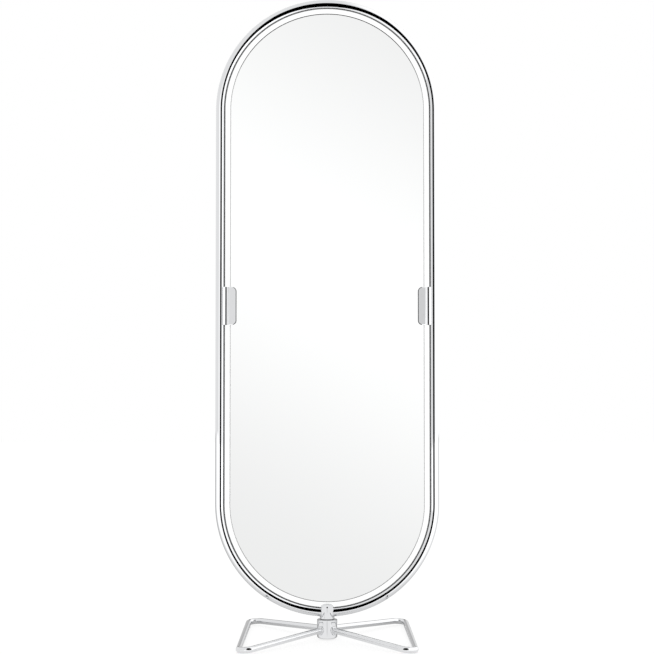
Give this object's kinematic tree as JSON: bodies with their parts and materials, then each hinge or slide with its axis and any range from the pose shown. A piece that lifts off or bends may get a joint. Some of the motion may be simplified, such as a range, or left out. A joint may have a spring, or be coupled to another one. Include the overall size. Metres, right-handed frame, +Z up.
{
  "type": "full-length mirror",
  "caption": "Tall free-standing mirror in a chromed tube hoop, held by side clips, that turns on a hub above two triangular rod feet.",
  "frame": {"origin": "on the floor, on the swivel's upright axis", "axes": "+Z up; +Y to the back, so the face with no screws looks along -Y; +X to the right as seen from the front"},
  "size_m": [0.6, 0.4614, 1.72],
  "materials": {
    "chrome": "polished chrome plate on steel",
    "steel": "bright zinc plated or bare turned steel",
    "black_steel": "black oxide on hardened steel",
    "mirror": "silvered float glass with a bevelled edge",
    "board": "plain fibreboard",
    "rubber": "black, matt",
    "nylon": "natural nylon",
    "dark_nylon": "black nylon",
    "clear_plastic": "clear soft plastic"
  },
  "bodies": {
    "base": {"hub": "chrome", "left_base_rod": "chrome", "right_base_rod": "chrome", "floor_glides": "clear_plastic", "hub_bottom_cap": "dark_nylon", "upper_bush": "nylon", "lower_bush": "nylon", "thrust_washer": "dark_nylon"},
    "mirror": {"post_head": "chrome", "spindle": "steel", "spindle_bolt": "steel", "keeper_washer": "steel", "head_grub_screws": "black_steel", "head_slot_pads": "nylon", "hoop": "chrome", "hoop_dowel": "steel", "front_glass": "mirror", "back_glass": "mirror", "core_board": "board", "edge_gasket": "rubber", "left_clip_block": "steel", "right_clip_block": "steel", "left_front_clip": "chrome", "right_front_clip": "chrome", "left_back_clip": "chrome", "right_back_clip": "chrome", "front_clip_pads": "rubber", "back_clip_pads": "rubber", "clip_screws": "steel"}
  },
  "joints": [
    {"name": "swivel", "type": "hinge", "parent": "base", "child": "mirror", "pos_m": [0, 0, 0.0535], "axis": [0, 0, 1], "continuous": true}
  ]
}
